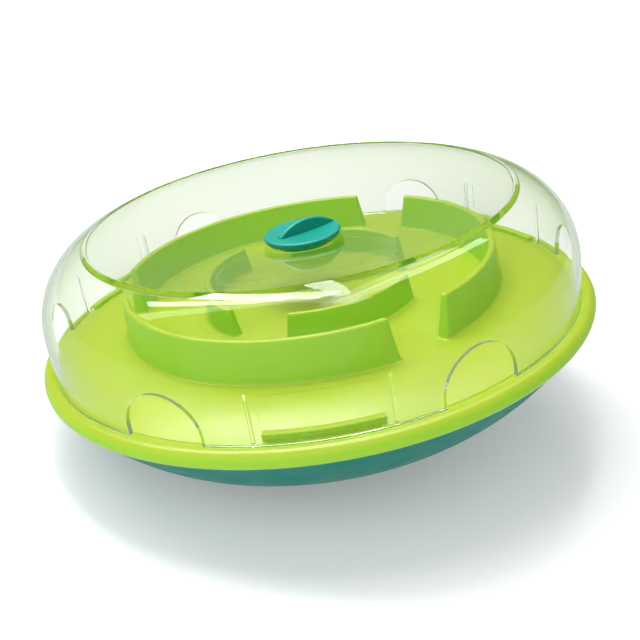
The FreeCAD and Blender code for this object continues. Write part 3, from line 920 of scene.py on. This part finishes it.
def moulded_plastic(name, level, steep, satin, grain, values):
    """Plastic with painted light on level faces and painted shade on steep faces, with flow clouds,
    uneven gloss and a fine tool texture.
    """
    material, tree, shader, place = new_material(name, {"IOR": PLASTIC_IOR, **values})
    facing = add_node(tree, "ShaderNodeNewGeometry").outputs["Normal"]
    upright = add_node(tree, "ShaderNodeSeparateXYZ")
    tree.links.new(facing, upright.inputs[0])
    # Painted light and shade: level faces take the lit colour and steep faces the shaded colour
    painted_light_share = add_node(tree, "ShaderNodeMapRange", {"From Min": PAINTED_SHADE_AT, "From Max": PAINTED_LIGHT_AT},
                        interpolation_type="SMOOTHSTEP")
    tree.links.new(upright.outputs["Z"], painted_light_share.inputs["Value"])
    body = mixed(tree, painted_light_share.outputs["Result"], solid(steep), solid(level))
    clouds = noise(tree, place, FLOW_CLOUDS, high=FLOW_SHARE)
    tree.links.new(mixed(tree, clouds, body, solid(steep, FLOW_SHADE)), shader.inputs["Base Color"])
    gloss = noise(tree, place, UNEVEN_GLOSS, satin - GLOSS_SPREAD, satin + GLOSS_SPREAD)
    tree.links.new(gloss, shader.inputs["Roughness"])
    bumps(tree, shader, noise(tree, place, TOOL_TEXTURE), strength=0.5, depth=grain)
    return material


def teal_plastic():
    """Teal plastic of the base."""
    c = bpy.context.scene.bowl_colours
    return moulded_plastic("teal_plastic", c.teal, c.teal, satin=0.45, grain=0.00003,
                           values={"Specular IOR Level": 0.05})


def lime_plastic():
    """Lime plastic of the tray, which light enters a little."""
    c = bpy.context.scene.bowl_colours
    # Painted light on level faces and painted shade on steep faces
    return moulded_plastic("lime_plastic", c.lime_painted_lit, c.lime_painted_shade, satin=0.34, grain=0.00001,
                           values={"Specular IOR Level": 0.25, "Subsurface Weight": 0.15,
                                   "Subsurface Scale": 0.002})


def plug_plastic():
    """Lighter teal plastic of the plug."""
    c = bpy.context.scene.bowl_colours
    # Painted light on level faces and painted shade on steep faces
    return moulded_plastic("plug_plastic", c.plug_painted_lit, c.plug_painted_shade, satin=0.40, grain=0.00002,
                           values={"Specular IOR Level": 0.25})


def clear_plastic():
    """Clear moulded plastic, faintly wavy, that takes a little colour away with depth."""
    c = bpy.context.scene.bowl_colours
    values = {"Base Color": solid(c.clear), "Transmission Weight": 1.0, "Roughness": 0.03}
    material, tree, shader, place = new_material("clear_plastic", {"IOR": COVER_IOR, **values})
    bumps(tree, shader, noise(tree, place, WAVES), strength=0.15, depth=0.0002)
    # Shadow rays, rays from matt surfaces and rays that have bounced often go straight through
    passing = add_node(tree, "ShaderNodeBsdfTransparent")
    path = add_node(tree, "ShaderNodeLightPath").outputs
    spent = calculated(tree, "GREATER_THAN", path["Ray Depth"], CLEAR_BOUNCES)
    straight = calculated(tree, "MAXIMUM", path["Is Shadow Ray"], path["Is Diffuse Ray"])
    straight = calculated(tree, "MAXIMUM", straight, spent)
    surface = covered(tree, straight, shader.outputs[0], passing.outputs[0])
    depth = add_node(tree, "ShaderNodeVolumeAbsorption",
                     {"Color": solid(c.clear_depth), "Density": CLEAR_DENSITY})
    output = tree.nodes["Material Output"]
    tree.links.new(surface, output.inputs["Surface"])
    tree.links.new(depth.outputs[0], output.inputs["Volume"])
    return material


def screw_steel():
    """Zinc plate over steel, with faint turning marks."""
    c = bpy.context.scene.bowl_colours
    material, tree, shader, place = new_material("screw_steel", {"Metallic": 1.0})
    tint = noise(tree, place, PLATING, high=PLATE_SHARE)
    body = mixed(tree, tint, solid(c.steel), solid(c.steel, PLATE_SHADE))
    tree.links.new(body, shader.inputs["Base Color"])
    marks = noise(tree, place, TURNING_MARKS, low=0.25, high=0.42)
    tree.links.new(marks, shader.inputs["Roughness"])
    return material


def studio_floor(floor, mirrored):
    """Pale matt floor, white where nothing shades it, with its own tone in a mirror, open from below."""
    material, tree, shader, place = new_material("studio_floor")
    tree.nodes.remove(shader)
    away = add_node(tree, "ShaderNodeVectorMath", operation="LENGTH")
    tree.links.new(place, away.inputs[0])
    limits = {"From Min": LIFT_FROM, "From Max": LIFT_TO, "To Min": FLOOR_LIFT, "To Max": FAR_LIFT}
    rise = add_node(tree, "ShaderNodeMapRange", limits, interpolation_type="SMOOTHSTEP")
    tree.links.new(away.outputs["Value"], rise.inputs["Value"])
    path = add_node(tree, "ShaderNodeLightPath").outputs
    refracted = calculated(tree, "MULTIPLY", path["Is Transmission Ray"], THROUGH_LIFT)
    seen = calculated(tree, "MAXIMUM", path["Is Camera Ray"], refracted)
    matt = add_node(tree, "ShaderNodeBsdfDiffuse", {"Color": solid(floor)})
    glow = add_node(tree, "ShaderNodeEmission")
    lift = calculated(tree, "MULTIPLY", seen, rise.outputs["Result"])
    tree.links.new(lift, glow.inputs["Strength"])
    both = add_node(tree, "ShaderNodeAddShader")
    tree.links.new(matt.outputs[0], both.inputs[0])
    tree.links.new(glow.outputs[0], both.inputs[1])
    tone = add_node(tree, "ShaderNodeEmission", {"Color": solid(mirrored)})
    shown = covered(tree, path["Glossy Depth"], both.outputs[0], tone.outputs[0])
    below = add_node(tree, "ShaderNodeNewGeometry").outputs["Backfacing"]
    clear = add_node(tree, "ShaderNodeBsdfTransparent")
    shown = covered(tree, below, shown, clear.outputs[0])
    tree.links.new(shown, tree.nodes["Material Output"].inputs["Surface"])
    return material


def studio_world(mirrored, through):
    """White to the camera, with its own tone in a mirror and through the cover, and even fill light."""
    world = bpy.data.worlds.new("studio")
    world.use_nodes = True
    tree = world.node_tree
    path = add_node(tree, "ShaderNodeLightPath").outputs
    fill = tree.nodes["Background"]
    fill.inputs["Color"].default_value = solid(WHITE)
    fill.inputs["Strength"].default_value = FILL_LIGHT
    shown = fill.outputs[0]
    tones = (("Is Transmission Ray", through), ("Glossy Depth", mirrored), ("Is Camera Ray", WHITE))
    for ray, tone in tones:
        seen = add_node(tree, "ShaderNodeBackground", {"Color": solid(tone)})
        shown = covered(tree, path[ray], shown, seen.outputs[0])
    tree.links.new(shown, tree.nodes["World Output"].inputs["Surface"])
    return world


def studio_lamp(name, place, width, depth, roll, radiance):
    """An area lamp towards the bowl, set by how bright its face looks, that the cover doesn't show."""
    data = bpy.data.lights.new(name, "AREA")
    data.shape = "RECTANGLE"
    data.size, data.size_y = width, depth
    data.energy = radiance * pi * width * depth
    lamp = bpy.data.objects.new(name, data)
    bpy.context.scene.collection.objects.link(lamp)
    lamp.location = place
    facing = (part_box("filler_plug")[0] - Vector(place)).to_track_quat("-Z", "Y").to_matrix()
    lamp.rotation_euler = (facing @ Matrix.Rotation(radians(roll), 3, "Z")).to_euler()
    lamp.visible_transmission = False
    return lamp


def lay_floor(s, colours, turn):
    """The floor, which leans under the bowl."""
    lean = turn @ Matrix.Rotation(s.lean, 3, "Y")
    bm = bmesh.new()
    bmesh.ops.create_grid(bm, x_segments=1, y_segments=1, size=FLOOR_HALF)
    bmesh.ops.transform(bm, verts=bm.verts, matrix=lean.to_4x4())
    bmesh.ops.translate(bm, verts=bm.verts, vec=turn @ Vector((s.contact_side, 0, s.contact_height)))
    make_object("floor", bm, studio_floor(colours.floor, colours.floor_mirrored))


def place_camera(s, turn):
    """The camera, at the photo's angle to the tipped bowl."""
    camera = bpy.data.objects.new("camera", bpy.data.cameras.new("camera"))
    bpy.context.scene.collection.objects.link(camera)
    camera.location = s.camera_place
    tilt = Matrix.Rotation(pi / 2 - s.camera_pitch, 3, "X") @ Matrix.Rotation(s.camera_roll, 3, "Z")
    camera.rotation_euler = (turn @ tilt).to_euler()
    camera.data.lens = s.camera_lens
    return camera


class BOWL_OT_stage(bpy.types.Operator):
    """Makes the floor, the light and the camera. The floor leans, because the bowl rests tipped on it"""

    bl_idname = "bowl.stage"
    bl_label = "Stage"

    def execute(self, context):
        scene = context.scene
        colours = scene.bowl_colours
        turn = Matrix.Rotation(scene.bowl_stage.turn, 3, "Z")
        lay_floor(scene.bowl_stage, colours, turn)
        scene.world = studio_world(colours.studio, colours.seen_through)
        for lamp in SOFTBOXES:
            studio_lamp(*lamp)
        for lamp in GLARES:
            studio_lamp(*lamp).visible_diffuse = False
        scene.camera = place_camera(scene.bowl_stage, turn)
        scene.view_settings.view_transform = "Standard"
        return {"FINISHED"}


class BOWL_PT_panel(bpy.types.Panel):
    """Lists the operators, each with sizes or colours that a user may change"""

    bl_idname = "BOWL_PT_panel"
    bl_label = "Treat Bowl"
    bl_space_type = "VIEW_3D"
    bl_region_type = "UI"
    bl_category = "Treat Bowl"

    def draw(self, context):
        for operator, group in PANEL_ROWS:
            box = self.layout.box()
            box.operator(operator)
            for name in GROUPS[group].__annotations__:
                box.prop(getattr(context.scene, group), name)


GROUPS = {
    "bowl_base": BowlBaseSizes,
    "bowl_tray": BowlTraySizes,
    "bowl_cover": BowlCoverSizes,
    "bowl_plug": BowlPlugSizes,
    "bowl_stage": BowlStageSizes,
    "bowl_colours": BowlColours,
}
OPERATORS = (BOWL_OT_base_shell, BOWL_OT_treat_tray, BOWL_OT_clear_cover, BOWL_OT_filler_plug,
             BOWL_OT_base_screws, BOWL_OT_stage)
# Each operator with the group that the panel lists under it. The screws have no sizes of their own, so
# the colours stand there
PANEL_ROWS = (("bowl.base_shell", "bowl_base"), ("bowl.treat_tray", "bowl_tray"),
              ("bowl.clear_cover", "bowl_cover"), ("bowl.filler_plug", "bowl_plug"),
              ("bowl.base_screws", "bowl_colours"), ("bowl.stage", "bowl_stage"))


def register():
    """Adds the classes and gives the scene its groups of sizes and colours."""
    for kind in (*GROUPS.values(), *OPERATORS, BOWL_PT_panel):
        bpy.utils.register_class(kind)
    for name, group in GROUPS.items():
        setattr(bpy.types.Scene, name, bpy.props.PointerProperty(type=group))


def unregister():
    """Takes back all that register added."""
    for name in GROUPS:
        delattr(bpy.types.Scene, name)
    for kind in (BOWL_PT_panel, *reversed(OPERATORS), *reversed(GROUPS.values())):
        bpy.utils.unregister_class(kind)


def main():
    """Makes the bowl piece by piece, then the stage."""
    register()
    bpy.ops.bowl.base_shell()
    bpy.ops.bowl.treat_tray()
    bpy.ops.bowl.clear_cover()
    bpy.ops.bowl.filler_plug()
    bpy.ops.bowl.base_screws()
    bpy.ops.bowl.stage()


if __name__ == "__main__":
    main()
